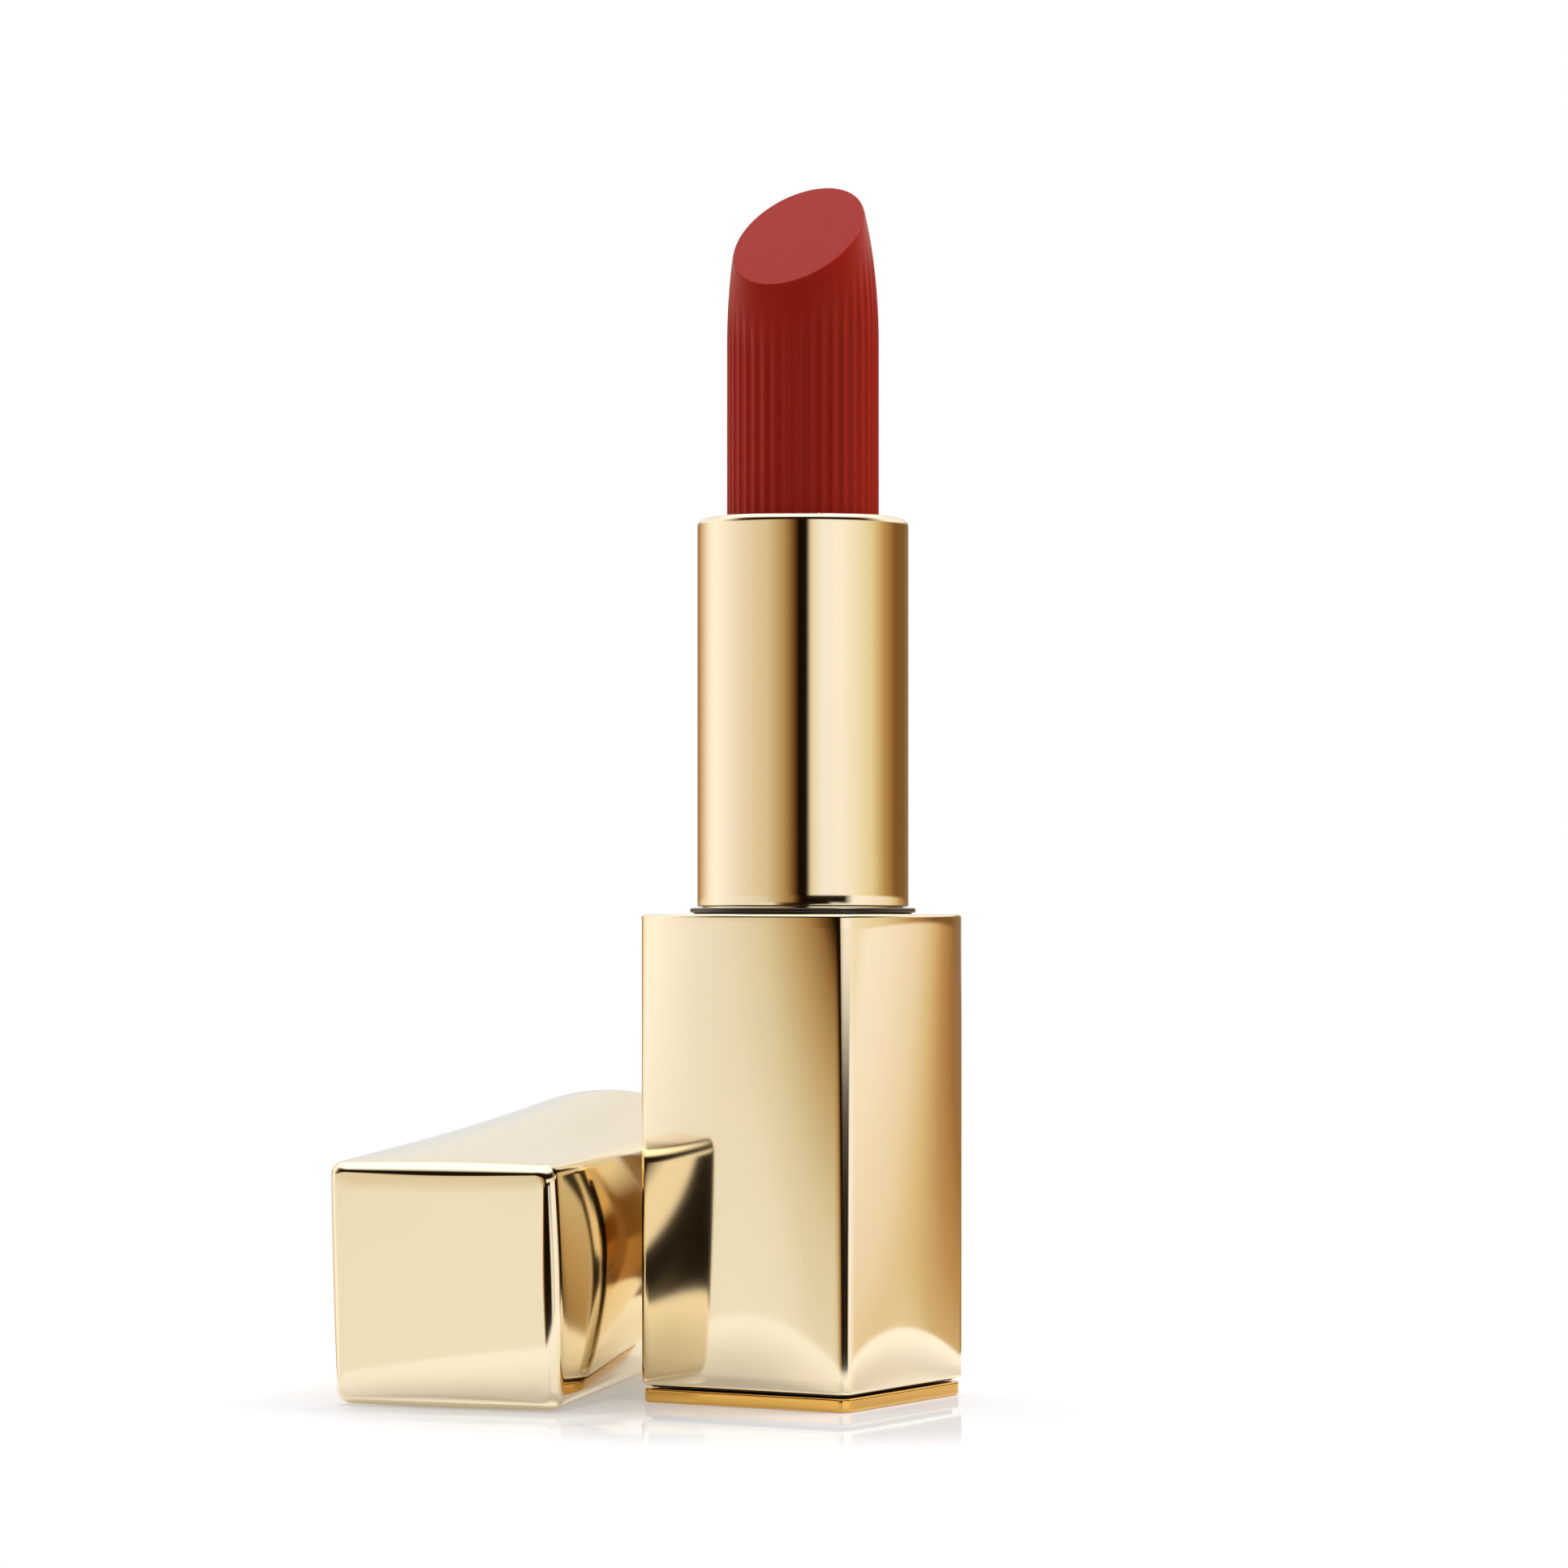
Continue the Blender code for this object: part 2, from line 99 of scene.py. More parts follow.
world = bpy.data.worlds.new("studio_tent")
bpy.context.scene.world = world
world.use_nodes = True
tree = world.node_tree
tree.nodes.clear()
direction = add_node(tree, "ShaderNodeTexCoord")
turned_round = add_node(tree, "ShaderNodeVectorRotate",
                        {"rotation_type": "Z_AXIS", "Angle": math.pi / 2 - view_turn},
                        i0=direction.outputs["Generated"])
bearing = add_node(tree, "ShaderNodeTexGradient", {"gradient_type": "RADIAL"}, i0=turned_round.outputs[0])


def panel_ramp(stops):
    """Colour by bearing from the lens, in degrees towards its right: each stop is a panel's
    edge and tone, at position 0.5 + bearing / 360 of the ramp."""
    node = add_node(tree, "ShaderNodeValToRGB", None, i0=bearing.outputs["Fac"])
    while len(node.color_ramp.elements) < len(stops):
        node.color_ramp.elements.new(0.5)
    for element, (degrees, tone) in zip(node.color_ramp.elements, stops):
        element.position = 0.5 + degrees / 360
        element.color = linear(tone)
    return node.outputs[0]


def blend_up(sine_from, sine_to, lower, upper):
    """Mix from the lower colour to the upper one between two sines of the elevation."""
    share = add_node(tree, "ShaderNodeMapRange", {"From Min": sine_from, "From Max": sine_to},
                     i0=upward.outputs["Z"])
    mix = add_node(tree, "ShaderNodeMix", {"data_type": "RGBA"}, i0=share.outputs[0])
    tree.links.new(lower, mix.inputs[6])
    if isinstance(upper, tuple):
        mix.inputs[7].default_value = upper
    else:
        tree.links.new(upper, mix.inputs[7])
    return mix.outputs[2]


upward = add_node(tree, "ShaderNodeSeparateXYZ", None, i0=direction.outputs["Generated"])
upper_panels = panel_ramp([
    (-180, "#dcdcde"), (-171, "#dcdcde"), (-164, "#a07b54"), (-156, "#a07b54"), (-140, "#d4b894"),
    (-125, "#f4ece0"), (-112, "#fdfdfd"), (-80, "#ece3de"), (-60, "#dfd3c2"), (-40, "#d5c5a9"),
    (-20, "#ae8d5f"), (-10, "#6b4a26"), (-5, "#150b03"), (4, "#150b03"), (9, "#e5d9c3"),
    (20, "#f0f1f2"), (40, "#f7f4f6"), (60, "#ece6d7"), (80, "#ded3aa"), (100, "#b48e57"),
    (120, "#7a562e"), (140, "#7a5a30"), (158, "#8c6f50"), (165, "#8c6f50"), (171, "#dcdcde"),
    (180, "#dcdcde"),
])
lower_panels = panel_ramp([
    (-180, "#dcdcde"), (-171, "#dcdcde"), (-164, "#a07b54"), (-156, "#b99a70"), (-140, "#e4d4bc"),
    (-125, "#f4ece0"), (-112, "#fdfdfd"), (-80, "#ebe8e6"), (-60, "#e2dfd4"), (-42, "#d6cfb9"),
    (-26, "#bda57c"), (-12, "#8f6c40"), (-6, "#4a2f16"), (-2, "#150b03"), (46, "#150b03"),
    (56, "#f7f4f6"), (66, "#f7f4f6"), (90, "#efe6dd"), (108, "#e6d8c4"),
    (120, "#d6bf92"), (132, "#b8915f"), (146, "#9a7040"), (165, "#8c6f50"), (171, "#dcdcde"),
    (180, "#dcdcde"),
])
table = panel_ramp([
    (-180, "#e9e7df"), (-50, "#e9e7df"), (-34, "#eae8e2"), (-28, "#b09468"), (-22, "#5a3f22"),
    (-16, "#150b03"), (26, "#150b03"), (34, "#fbf8f4"), (122, "#f2f0ea"), (138, "#b8915f"), (150, "#6b4a26"),
    (165, "#5a3f22"), (180, "#e6e2d6"),
])
hood = panel_ramp([
    (-180, "#e4e2e0"), (-105, "#ffffff"), (-75, "#4a3420"), (-55, "#1c1006"), (50, "#1c1006"),
    (75, "#4a3420"), (110, "#ffffff"), (180, "#e4e2e0"),
])
ceiling = (1.37, 1.38, 1.40, 1.0)
low_round = blend_up(-0.17, -0.13, table, lower_panels)
whole_round = blend_up(-0.035, -0.014, low_round, upper_panels)
under_hood = blend_up(0.14, 0.24, whole_round, hood)
tent = blend_up(0.60, 0.85, under_hood, ceiling)
tent_light = add_node(tree, "ShaderNodeBackground", {"Strength": 1.15}, i0=tent)
plain_white = add_node(tree, "ShaderNodeBackground", {"Color": linear("#ffffff"), "Strength": 1.0})
camera_ray = add_node(tree, "ShaderNodeLightPath")
seen = add_node(tree, "ShaderNodeMixShader", None, i0=camera_ray.outputs["Is Camera Ray"],
                i1=tent_light.outputs[0], i2=plain_white.outputs[0])
add_node(tree, "ShaderNodeOutputWorld", None, i0=seen.outputs[0])

strip_data = bpy.data.lights.new("overhead_strip", "AREA")
strip_data.shape = "RECTANGLE"
strip_data.size, strip_data.size_y = 24 * MM, 70 * MM
strip_data.energy = 0.30
strip = bpy.data.objects.new("overhead_strip", strip_data)
bpy.context.scene.collection.objects.link(strip)
strip_right, strip_behind, strip_up = 0.45, 0.05, 0.89
strip_aim = deck_height + 50 * MM
strip_reach = 320 * MM
strip_way = strip_right * view_right + strip_behind * view_ahead + np.array([0, 0, strip_up])
strip.location = np.array([0, 0, strip_aim]) + strip_reach * strip_way
strip.rotation_euler = (0.0, math.atan2(strip_right, strip_up), view_turn)


# ---------------------------------------------------------------- Floor
# A round white acrylic sheet, lit from above and through itself from below; its polish
# mirrors the object faintly and fades out towards the rim.
def grid_piece(name, points, close_across=True, close_along=False):
    """Mesh of a rows-by-columns array of points: quads join each row to the next, and the
    columns (and rows, for a ring) wrap round. Rows of equal points are merged to a pole."""
    rows, columns = points.shape[:2]
    row = np.arange(rows if close_along else rows - 1)[:, None]
    column = np.arange(columns if close_across else columns - 1)[None, :]
    next_row = (row + 1) % rows
    next_column = (column + 1) % columns
    quads = np.stack([row * columns + column, row * columns + next_column,
                      next_row * columns + next_column, next_row * columns + column], axis=-1)
    mesh = bpy.data.meshes.new(name)
    mesh.from_pydata(points.reshape(-1, 3), [], quads.reshape(-1, 4))
    tidy = close_and_smooth(mesh)
    piece = bpy.data.objects.new(name, tidy)
    bpy.context.scene.collection.objects.link(piece)
    return piece


def close_and_smooth(mesh):
    """Merge doubled points, turn the faces outwards and shade the surface smooth."""
    bm = bmesh.new()
    bm.from_mesh(mesh)
    bmesh.ops.remove_doubles(bm, verts=bm.verts, dist=1e-7)
    bmesh.ops.dissolve_degenerate(bm, edges=bm.edges, dist=1e-8)
    bmesh.ops.recalc_face_normals(bm, faces=bm.faces)
    bm.to_mesh(mesh)
    bm.free()
    mesh.shade_smooth()
    return mesh


sheet_radius = 48 * MM
sheet_drop = 0.02 * MM
mirror_full, mirror_gone = 24 * MM, 47 * MM
around = np.linspace(0, 2 * np.pi, 96, endpoint=False)[None, :]
reach = np.array([0.0, sheet_radius / 2, sheet_radius])[:, None]
floor = grid_piece("floor", np.dstack([reach * np.cos(around), reach * np.sin(around),
                                       -sheet_drop + 0 * reach * around]))
acrylic = bpy.data.materials.new("white_gloss_acrylic")
acrylic.use_nodes = True
tree = acrylic.node_tree
tree.nodes.clear()
body = add_node(tree, "ShaderNodeBsdfDiffuse", {"Color": linear("#d6d6d7")})
glow = add_node(tree, "ShaderNodeEmission", {"Color": linear("#fffefd"), "Strength": 0.34})
lit = add_node(tree, "ShaderNodeAddShader", None, i0=body.outputs[0], i1=glow.outputs[0])
gloss = add_node(tree, "ShaderNodeBsdfGlossy", {"Color": linear("#ffffff"), "Roughness": 0.04})
spot = add_node(tree, "ShaderNodeTexCoord")
away = add_node(tree, "ShaderNodeVectorMath", {"operation": "LENGTH"}, i0=spot.outputs["Object"])
wiped = add_node(tree, "ShaderNodeMapRange",
                 {"interpolation_type": "SMOOTHSTEP", "From Min": mirror_full,
                  "From Max": mirror_gone, "To Min": 0.30, "To Max": 0.0},
                 i0=away.outputs["Value"])
sheet = add_node(tree, "ShaderNodeMixShader", None, i0=wiped.outputs[0],
                 i1=lit.outputs[0], i2=gloss.outputs[0])
add_node(tree, "ShaderNodeOutputMaterial", None, i0=sheet.outputs[0])
floor.data.materials.append(acrylic)


# ---------------------------------------------------------------- Case shell
# Gold-anodised aluminium, drawn and polished: square at the foot, it flows to a nearly
# round seam. A flat deck closes its top round the tube.
shell_low, shell_high = (np.array(corner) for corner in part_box("base_shell"))
seam_half = (shell_high[0] - shell_low[0]) / 2
flare = 2.3 * MM
foot_half = seam_half - flare
corner_tight = 1.0 * MM
corner_wide = 2.0 * MM
corner_eased = 0.06 * MM
corner_reach = (foot_half - corner_tight) * math.sqrt(2) + corner_tight - corner_eased
case_wall = 0.7 * MM
deck_thick = 0.8 * MM
deck_hole = 8.76 * MM
ROUND_COLUMNS = 384


def section_radius(share, bearing):
    """Polar radius of the case's section, from the square end (share 0) to the seam (1).
    Four face arcs pass through the half width, four corner arcs through corner_reach, and
    each face arc's radius is the one that makes it tangent to its corner arcs."""
    half = foot_half + flare * share
    corner = corner_tight + (corner_wide - corner_tight) * np.maximum(share, 0) ** 1.5
    middle = (corner_reach - corner) / math.sqrt(2)
    back = middle - half
    face = (corner ** 2 - middle ** 2 - back ** 2) / (2 * (back + corner))
    tangent = np.arctan2(middle, back + face)
    meet = np.arctan2(middle + corner * np.sin(tangent), middle + corner * np.cos(tangent))
    folded = np.abs((bearing + np.pi / 4) % (np.pi / 2) - np.pi / 4)
    on_face = (half - face) * np.cos(folded) + np.sqrt(face ** 2 - ((face - half) * np.sin(folded)) ** 2)
    off = np.pi / 4 - folded
    side = np.minimum(np.abs((corner_reach - corner) * np.sin(off)), corner)
    on_corner = (corner_reach - corner) * np.cos(off) + np.sqrt(corner ** 2 - side ** 2)
    return np.where(folded < meet, on_face, on_corner)


def arc(centre_r, centre_z, radius, start, end, steps=7):
    """Points (r, z) on a circle arc from the start to the end angle in degrees."""
    turn = np.radians(np.linspace(start, end, steps))
    return [(centre_r + radius * np.cos(t), centre_z + radius * np.sin(t)) for t in turn]


def shell_rings(rows):
    """Rings of a square-to-round shell. Each row is (z, share, inset, roundness, scale):
    the section at share is drawn in by inset, blended by roundness towards the circle
    inside it, and scaled about the axis, down to 0 for a pole."""
    bearing = np.linspace(0, 2 * np.pi, ROUND_COLUMNS, endpoint=False)[None, :]
    z, share, inset, roundness, scale = (np.array(values)[:, None] for values in zip(*rows))
    shape = section_radius(share, bearing) - inset
    circle = foot_half + flare * share - inset
    radius = (shape + (circle - shape) * roundness) * scale
    return np.stack([radius * np.cos(bearing), radius * np.sin(bearing), z + 0 * bearing], axis=-1)


def anodised_gold(name, tone, roughness):
    """Gold-anodised aluminium, machine polished: a clear mirror, with a faint satin cloud
    from the bath and polishing lines too fine to see one by one."""
    metal = bpy.data.materials.new(name)
    metal.use_nodes = True
    tree = metal.node_tree
    shader = tree.nodes["Principled BSDF"]
    shader.inputs["Metallic"].default_value = 1.0
    place = add_node(tree, "ShaderNodeTexCoord")
    cloud = add_node(tree, "ShaderNodeTexNoise", {"Scale": 1 / (9 * MM), "Detail": 2.0},
                     i0=place.outputs["Object"])
    satin = add_node(tree, "ShaderNodeMapRange", {"To Min": roughness * 0.8, "To Max": roughness * 1.25},
                     i0=cloud.outputs["Fac"])
    tree.links.new(satin.outputs[0], shader.inputs["Roughness"])
    tints = add_node(tree, "ShaderNodeValToRGB", None, i0=cloud.outputs["Fac"])
    tints.color_ramp.elements[0].color = linear(tone)
    deeper = [c * 0.97 for c in linear(tone)[:3]]
    tints.color_ramp.elements[1].color = (*deeper, 1.0)
    tree.links.new(tints.outputs[0], shader.inputs["Base Color"])
    lines = add_node(tree, "ShaderNodeTexNoise", {"Scale": 1 / (0.35 * MM), "Detail": 3.0},
                     i0=place.outputs["Object"])
    ripple = add_node(tree, "ShaderNodeBump", {"Strength": 0.02, "Distance": 0.01 * MM})
    tree.links.new(lines.outputs["Fac"], ripple.inputs["Height"])
    tree.links.new(ripple.outputs[0], shader.inputs["Normal"])
    return metal


gold = anodised_gold("gold_anodised_aluminium", "#f7e8c8", 0.07)

edge = 0.3 * MM
low, high = shell_low[2], shell_high[2]
hole = seam_half - deck_hole


def case_row(z, inset=0.0, roundness=0.0):
    """Row of shell_rings at height z, whose share of the flare grows from the foot up."""
    return (z, (z - low) / (high - low), inset, roundness, 1.0)


case_rows = (
    [case_row(z, edge - r) for r, z in arc(0, low + edge, edge, -90, 0)]
    + [case_row(z) for z in np.linspace(low + edge, high - edge, 42)[1:-1]]
    + [case_row(z, edge - r) for r, z in arc(0, high - edge, edge, 0, 90)]
    + [case_row(high, edge + (hole - edge) * t, t) for t in np.linspace(0, 1, 6)[1:]]
    + [case_row(high - deck_thick, hole, 1.0), case_row(high - deck_thick, case_wall)]
    + [case_row(z, case_wall) for z in np.linspace(high - 1.2 * MM, low + 0.02 * MM, 8)]
)
case_shell = grid_piece("case_shell", shell_rings(case_rows), close_along=True)
case_shell.data.set_sharp_from_angle(angle=SHARP_EDGE)
case_shell.data.materials.append(gold)
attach(case_shell, "base")
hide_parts("base_shell")


# ---------------------------------------------------------------- Foot plate
# A gold plate a little smaller than the shell, which it carries on a black plug.
plate_low, plate_high = (np.array(corner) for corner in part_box("foot_plate"))
plate_inset = foot_half - (plate_high[0] - plate_low[0]) / 2
plate_round = 0.2 * MM
plate_rows = [(plate_low[2], 0.0, plate_inset + plate_round, 0.0, t) for t in (0.0, 0.5, 0.9)]
for r, z in arc(0, plate_low[2] + plate_round, plate_round, -90, 0):
    plate_rows.append((z, 0.0, plate_inset + plate_round - r, 0.0, 1.0))
for r, z in arc(0, plate_high[2] - plate_round, plate_round, 0, 90):
    plate_rows.append((z, 0.0, plate_inset + plate_round - r, 0.0, 1.0))
plate_rows += [(plate_high[2], 0.0, plate_inset + plate_round, 0.0, t) for t in (0.9, 0.5, 0.0)]
foot_plate = grid_piece("foot_plate_finish", shell_rings(plate_rows))
foot_plate.data.set_sharp_from_angle(angle=SHARP_EDGE)
foot_plate.data.materials.append(anodised_gold("warm_gold_anodised_aluminium", "#eebb62", 0.12))
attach(foot_plate, "base")
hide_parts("foot_plate")


# ---------------------------------------------------------------- Collar
# A moulded nylon bearing ring, dark brown and glossy, pressed into the deck.
def turned_surface(profile, columns=240):
    """Surface of revolution about Z: each profile point (r, z) swept round as a ring."""
    bearing = np.linspace(0, 2 * np.pi, columns, endpoint=False)[None, :]
    radius, z = (np.array(values)[:, None] for values in zip(*profile))
    return np.stack([radius * np.cos(bearing), radius * np.sin(bearing),
                     z + 0 * bearing], axis=-1)


def moulded_plastic(name, tone, roughness, grain_mm=0.4):
    """Injection-moulded plastic: even colour, slightly mottled, with the mould's fine
    spark-eroded grain."""
    plastic = bpy.data.materials.new(name)
    plastic.use_nodes = True
    tree = plastic.node_tree
    shader = tree.nodes["Principled BSDF"]
    place = add_node(tree, "ShaderNodeTexCoord")
    mottle = add_node(tree, "ShaderNodeTexNoise", {"Scale": 1 / (6 * MM), "Detail": 3.0},
                      i0=place.outputs["Object"])
    tints = add_node(tree, "ShaderNodeValToRGB", None, i0=mottle.outputs["Fac"])
    tints.color_ramp.elements[0].color = linear(tone)
    tints.color_ramp.elements[1].color = (*[c * 0.88 for c in linear(tone)[:3]], 1.0)
    tree.links.new(tints.outputs[0], shader.inputs["Base Color"])
    shader.inputs["Roughness"].default_value = roughness
    grain = add_node(tree, "ShaderNodeTexNoise", {"Scale": 1 / (grain_mm * MM), "Detail": 2.0},
                     i0=place.outputs["Object"])
    bump = add_node(tree, "ShaderNodeBump", {"Strength": 0.15, "Distance": 0.02 * MM})
    tree.links.new(grain.outputs["Fac"], bump.inputs["Height"])
    tree.links.new(bump.outputs[0], shader.inputs["Normal"])
    return plastic


collar_low, collar_high = (np.array(corner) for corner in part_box("collar"))
collar_radius = collar_high[0]
collar_round = 0.18 * MM
collar_bore = 8.13 * MM
collar_neck = 8.66 * MM         # below the flange, inside the deck's hole
tube_low, tube_high = (np.array(corner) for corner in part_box("outer_tube"))
tube_radius = tube_high[0]
flange_under = shell_high[2] + 0.1 * MM
collar_profile = (
    arc(collar_radius - collar_round, flange_under + collar_round, collar_round, -90, 0)
    + arc(collar_radius - collar_round, collar_high[2] - collar_round, collar_round, 0, 90)
    + [(collar_bore, collar_high[2]), (collar_bore, collar_low[2]), (collar_neck, collar_low[2]),
       (collar_neck, flange_under)]
)
collar = grid_piece("collar_finish", turned_surface(collar_profile), close_along=True)
collar.data.set_sharp_from_angle(angle=SHARP_EDGE)
collar.data.materials.append(moulded_plastic("dark_nylon_moulded", "#2a1a12", 0.25))
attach(collar, "base")
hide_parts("collar")


# ---------------------------------------------------------------- Outer tube
# Gold-anodised drawn tube with a rolled rim; a skirt below its shoulder turns in the base.
rim_round = 0.62 * MM
rim_bore = 6.35 * MM
rim_edge = 0.16 * MM
rim_thick = 0.75 * MM
shoulder_round = 0.12 * MM
skirt_radius = 8.01 * MM
skirt_bore = 7.63 * MM
shoulder = collar_high[2] + 0.1 * MM
tube_profile = (
    [(skirt_bore, tube_low[2]), (skirt_radius, tube_low[2]), (skirt_radius, shoulder)]
    + arc(tube_radius - shoulder_round, shoulder + shoulder_round, shoulder_round, -90, 0, 5)
    + [(tube_radius, z) for z in np.linspace(shoulder + 1 * MM, tube_high[2] - rim_round - 0.5 * MM, 12)]
    + arc(tube_radius - rim_round, tube_high[2] - rim_round, rim_round, 0, 90, 12)
    + arc(rim_bore + rim_edge, tube_high[2] - rim_edge, rim_edge, 90, 180, 6)
    + [(rim_bore, tube_high[2] - rim_thick), (skirt_bore, tube_high[2] - rim_thick)]
)
outer_tube = grid_piece("tube_finish", turned_surface(tube_profile, 300), close_along=True)
outer_tube.data.set_sharp_from_angle(angle=SHARP_EDGE)
outer_tube.data.materials.append(gold)
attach(outer_tube, "tube")
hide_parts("outer_tube")


# ---------------------------------------------------------------- Bullet
# Moulded wax stick, brick red and satin, with fine flutes down its sides and a slanted
# smooth face whose edge is softly rounded.
bullet_low, bullet_high = (np.array(corner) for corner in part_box("bullet"))
bullet_radius = bullet_high[0]
tip_height = 18.2 * MM           # of the whole ellipse, most of which the slant cuts off
bullet_tip = deck_height + 58.4 * MM
tip_start = bullet_tip - 13.1 * MM
slant = math.radians(41.6)
slant_turn = (0.115, -0.993)
slant_middle = bullet_tip - 3.70 * MM
lip_round = 0.6 * MM
FLUTES = 40
flute_depth = 0.15 * MM
flute_end = 1.2 * MM            # below the slanted face, where the flutes begin
flute_run_in = 5 * MM


def soft_lower(a, b, blend):
    """Smooth minimum: the lower of two heights, rounded over the blend distance."""
    share = np.clip(0.5 + 0.5 * (b - a) / blend, 0, 1)
    return b * (1 - share) + a * share - blend * share * (1 - share)


def bullet_surface(columns=640, side_rows=30, top_rows=110):
    """Side up to where the tip starts, then the lower of an elliptical tip and the slanted
    plane, both as heights over the disc. The flutes are a cosine of the bearing cut into
    the radius, which fades out towards the slanted face."""
    bearing = np.linspace(0, 2 * np.pi, columns, endpoint=False)[None, :]
    share = np.sin(np.linspace(np.pi / 2, 0, top_rows))[:, None]
    x, y = bullet_radius * share * np.cos(bearing), bullet_radius * share * np.sin(bearing)
    tip = tip_start + tip_height * np.sqrt(np.clip(1 - share ** 2, 0, 1)) + 0 * bearing
    plane = slant_middle - math.tan(slant) * (x * slant_turn[0] + y * slant_turn[1])
    top = soft_lower(tip, plane, lip_round)
    climb = np.linspace(0, 1, side_rows)[:-1, None]
    side = bullet_low[2] + (top[:1] - bullet_low[2]) * climb
    z = np.concatenate([side, top])
    radius = np.concatenate([bullet_radius + 0 * side, bullet_radius * share + 0 * bearing])
    fall = np.cos(bearing) * slant_turn[0] + np.sin(bearing) * slant_turn[1]
    cut = slant_middle - math.tan(slant) * radius * fall
    fade = np.clip((cut - z - flute_end) / flute_run_in, 0, 1)
    fade = fade * fade * (3 - 2 * fade)
    wall = radius - flute_depth * (0.5 - 0.5 * np.cos(FLUTES * bearing)) * fade
    points = np.stack([wall * np.cos(bearing), wall * np.sin(bearing), z], axis=-1)
    foot = np.zeros((1, columns, 3))
    foot[..., 2] = bullet_low[2]
    return np.concatenate([foot, points], axis=0)


bullet = grid_piece("bullet_finish", bullet_surface())
wax = bpy.data.materials.new("pressed_red_wax")
wax.use_nodes = True
tree = wax.node_tree
shader = tree.nodes["Principled BSDF"]
place = add_node(tree, "ShaderNodeTexCoord")
pigment = add_node(tree, "ShaderNodeTexNoise", {"Scale": 1 / (2.5 * MM), "Detail": 4.0},
                   i0=place.outputs["Object"])
reds = add_node(tree, "ShaderNodeValToRGB", None, i0=pigment.outputs["Fac"])
reds.color_ramp.elements[0].color = linear("#b0291c")
reds.color_ramp.elements[1].color = linear("#a82619")
tree.links.new(reds.outputs[0], shader.inputs["Base Color"])
shader.inputs["Roughness"].default_value = 0.24
shader.inputs["IOR"].default_value = 1.17
shader.inputs["Subsurface Weight"].default_value = 0.12
shader.inputs["Subsurface Radius"].default_value = (0.6 * MM, 0.15 * MM, 0.1 * MM)
shader.inputs["Subsurface Scale"].default_value = 1.0
grain = add_node(tree, "ShaderNodeTexNoise", {"Scale": 1 / (0.3 * MM), "Detail": 3.0},
                 i0=place.outputs["Object"])
bump = add_node(tree, "ShaderNodeBump", {"Strength": 0.12, "Distance": 0.03 * MM})
tree.links.new(grain.outputs["Fac"], bump.inputs["Height"])
tree.links.new(bump.outputs[0], shader.inputs["Normal"])
bullet.data.materials.append(wax)
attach(bullet, "carriage")
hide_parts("bullet")


# ---------------------------------------------------------------- Cap shell
# The cap is drawn and anodised like the case, square and closed at one end. It lies on
# one side, so its axis rises a few degrees towards the round open end.
cap_length = 36 * MM
cap_tilt = math.atan(flare / cap_length)
cap_turn = math.radians(10.6)
cap_aside = -0.1 * MM           # from the case's square end sideways to the cap's
cap_ahead = 13.3 * MM           # cap's closed end in front of the case's front face
cap_end = np.array([-2 * foot_half - cap_aside, -foot_half - cap_ahead,
                    foot_half * math.cos(cap_tilt)])


def lay_down(points):
    """Carry points from the cap's own axis (+Z, closed end at 0) to where it lies: tip it
    onto its side, turn it on the table, then move its closed end into place."""
    tip = cap_tilt - math.pi / 2
    x, y, z = np.moveaxis(points, -1, 0)
    y, z = y * math.cos(tip) - z * math.sin(tip), y * math.sin(tip) + z * math.cos(tip)
    x, y = (x * math.cos(cap_turn) - y * math.sin(cap_turn),
            x * math.sin(cap_turn) + y * math.cos(cap_turn))
    return np.stack([x, y, z], axis=-1) + cap_end


end_edge = 1.2 * MM
skin = 0.03 * MM                # the finish lies this far inside the solid's closed end
lip = 0.15 * MM
cap_end_thick = 0.8 * MM


def cap_row(z, inset=0.0, scale=1.0):
    """Row of shell_rings at z along the cap, whose flare grows from the closed end."""
    return (z, z / cap_length, inset, 0.0, scale)


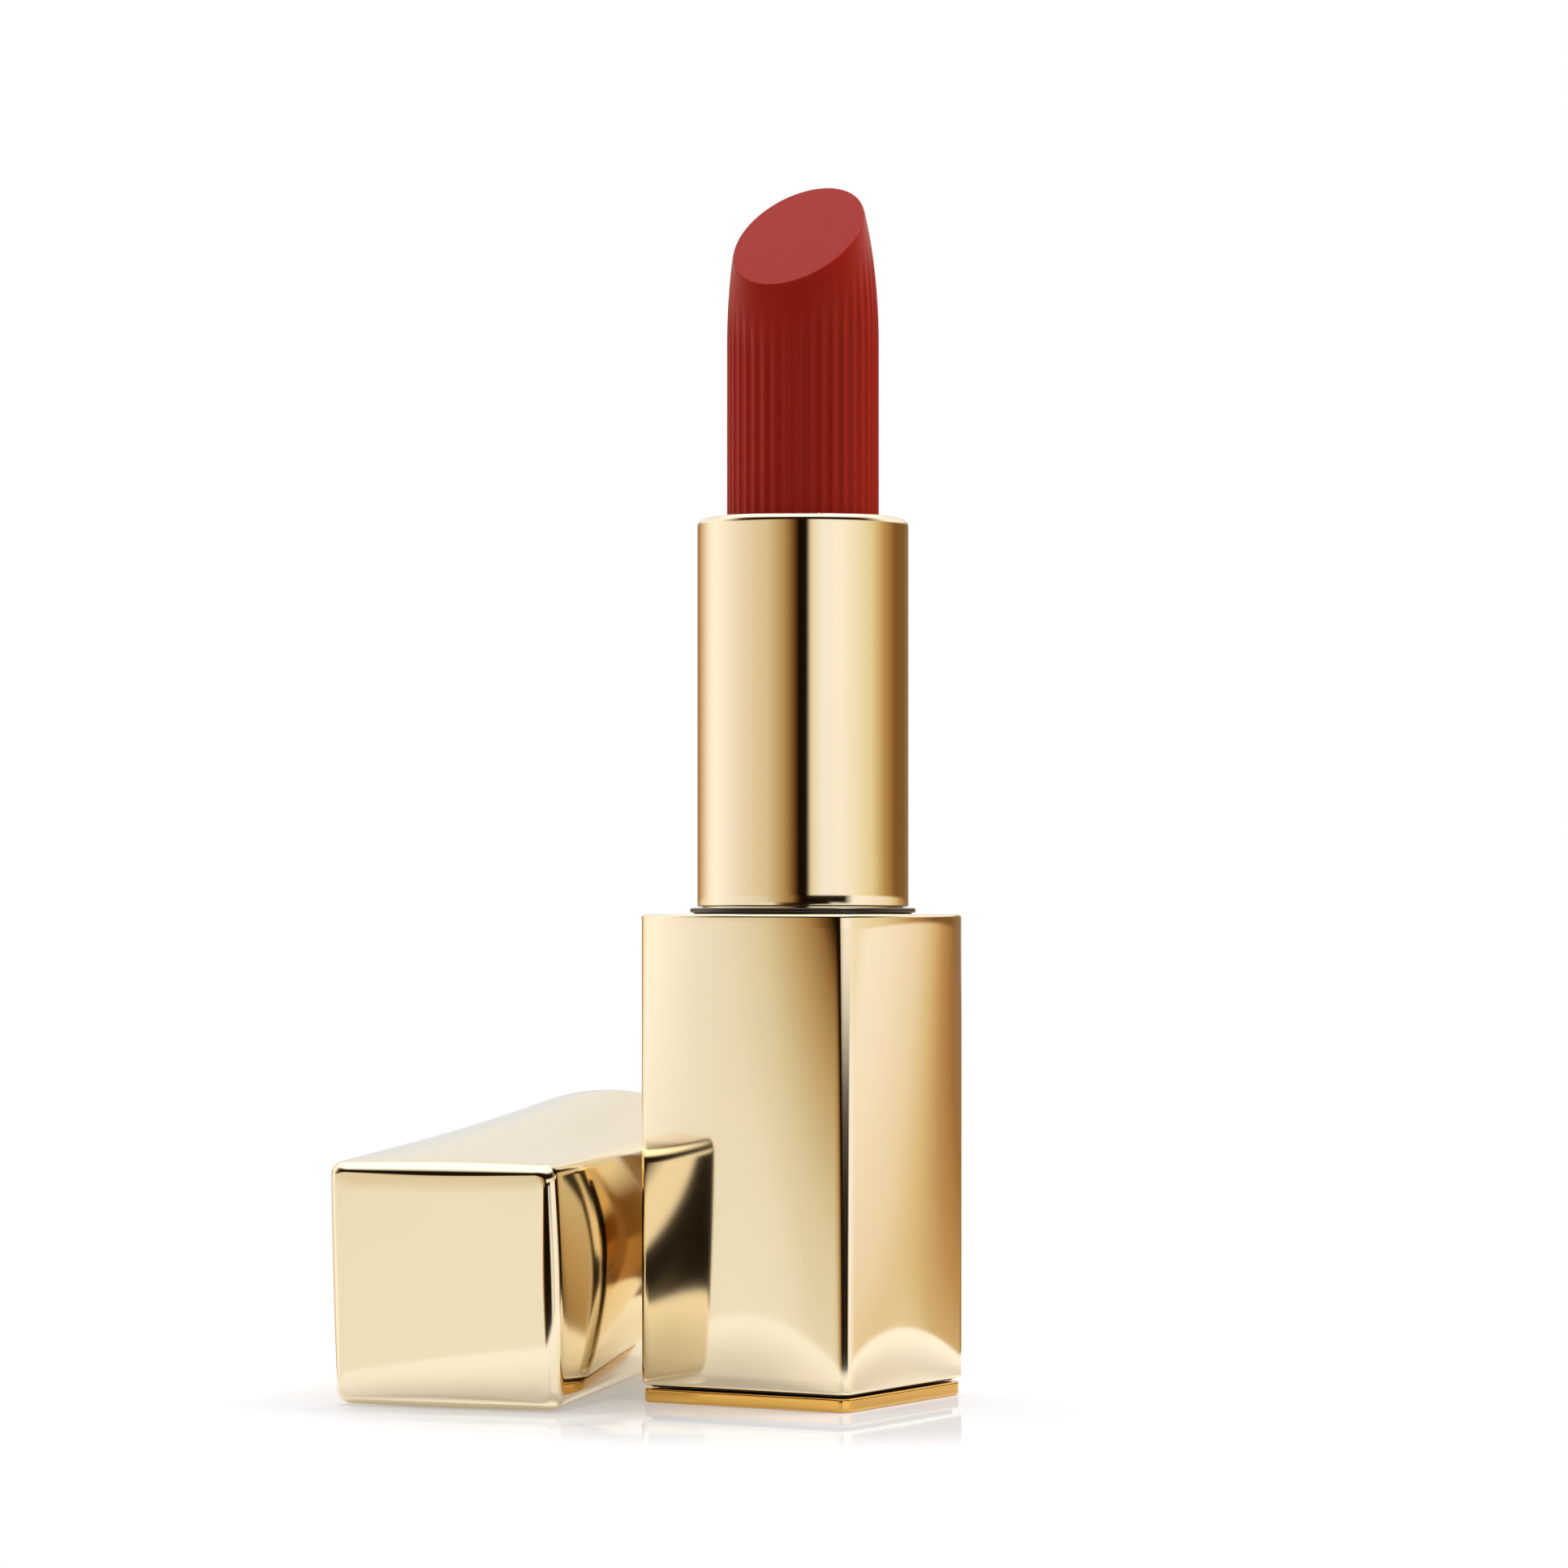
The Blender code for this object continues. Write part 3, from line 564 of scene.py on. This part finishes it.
cap_rows = (
    [cap_row(skin, end_edge, t) for t in (0.0, 0.3, 0.6, 0.85)]
    + [cap_row(z, end_edge - r) for r, z in arc(0, end_edge + skin, end_edge, -90, 0, 16)]
    + [cap_row(z) for z in np.linspace(end_edge + skin, cap_length - lip, 44)[1:-1]]
    + [cap_row(z, lip - r) for r, z in arc(0, cap_length - lip, lip, 0, 90, 5)]
    + [cap_row(z, case_wall) for z in np.linspace(cap_length, cap_end_thick, 16)]
    + [cap_row(cap_end_thick, case_wall, 0.0)]
)
cap_shell = grid_piece("cap_finish", lay_down(shell_rings(cap_rows)))
cap_shell.data.set_sharp_from_angle(angle=SHARP_EDGE)
cap_shell.data.materials.append(gold)
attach(cap_shell, "cap")
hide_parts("cap_shell")


# ---------------------------------------------------------------- Plastic parts inside
# Moulded parts of the mechanism and the cap: natural acetal where they slide, with a
# black plug under the shell. They show at the rim, in the cap's mouth and under the shell.
natural = moulded_plastic("natural_acetal_moulded", "#e6e0d2", 0.42)
black = moulded_plastic("black_abs_moulded", "#120d0a", 0.5)
for name in ("base_insert", "inner_body", "spiral_sleeve", "bullet_cup", "cap_liner"):
    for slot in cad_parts[name].material_slots:
        slot.material = natural
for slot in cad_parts["base_plug"].material_slots:
    slot.material = black


# ---------------------------------------------------------------- Friction ring
# Silicone ring under the spiral, which gives the twist its drag.
silicone = moulded_plastic("black_silicone_moulded", "#191615", 0.7, 0.25)
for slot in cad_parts["drag_ring"].material_slots:
    slot.material = silicone


# ---------------------------------------------------------------- Weights
# Steel blanks, stamped and zinc plated, glued in the foot and in the cap's closed end.
zinc = bpy.data.materials.new("zinc_plated_steel")
zinc.use_nodes = True
tree = zinc.node_tree
shader = tree.nodes["Principled BSDF"]
shader.inputs["Metallic"].default_value = 1.0
shader.inputs["Roughness"].default_value = 0.42
place = add_node(tree, "ShaderNodeTexCoord")
spangle = add_node(tree, "ShaderNodeTexNoise", {"Scale": 1 / (1.5 * MM), "Detail": 2.0},
                   i0=place.outputs["Object"])
greys = add_node(tree, "ShaderNodeValToRGB", None, i0=spangle.outputs["Fac"])
greys.color_ramp.elements[0].color = linear("#a9abad")
greys.color_ramp.elements[1].color = linear("#c3c4c6")
tree.links.new(greys.outputs[0], shader.inputs["Base Color"])
for name in ("base_weight", "cap_weight"):
    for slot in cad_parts[name].material_slots:
        slot.material = zinc
